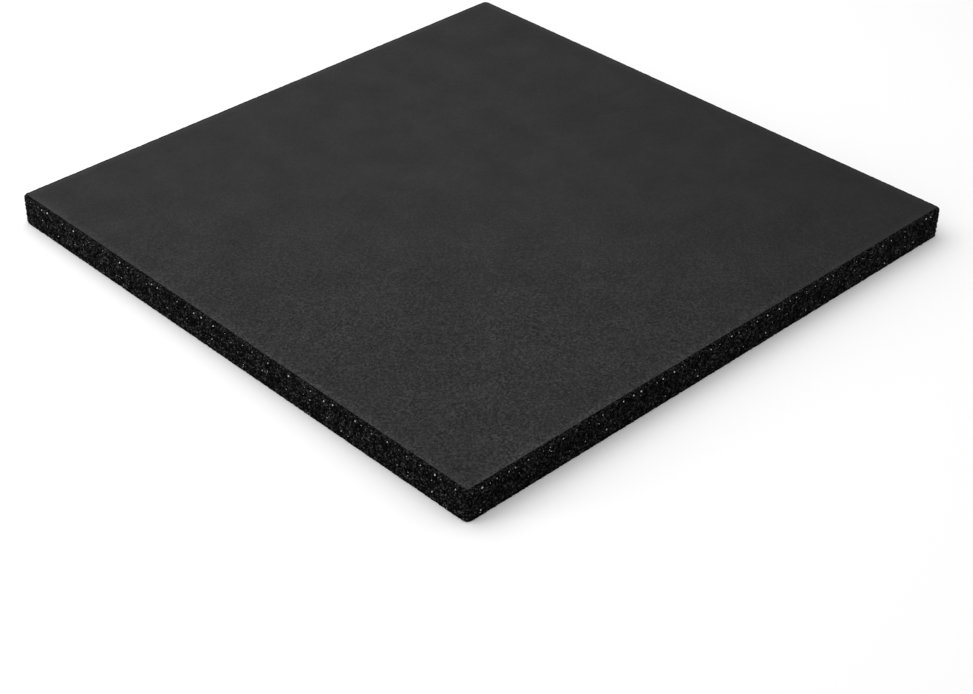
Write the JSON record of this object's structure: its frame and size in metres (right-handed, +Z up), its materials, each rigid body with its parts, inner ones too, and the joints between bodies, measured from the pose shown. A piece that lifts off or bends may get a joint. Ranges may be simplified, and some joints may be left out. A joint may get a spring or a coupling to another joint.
{
  "type": "rubber gym floor tile",
  "caption": "Square slab of pressed black rubber crumb with softly rolled upper edges, laid flat and edge to edge as shock-absorbing gym flooring.",
  "frame": {"origin": "middle of the underside, on the floor", "axes": "+Z up out of the walking face, X and Y along the sides of the square"},
  "size_m": [0.5, 0.5, 0.025],
  "materials": {
    "bonded_rubber": "dead matt black, fine pressed grain on the walking face, open crumb on the sides"
  },
  "bodies": {
    "root": {"rubber_tile": "bonded_rubber"}
  },
  "joints": []
}
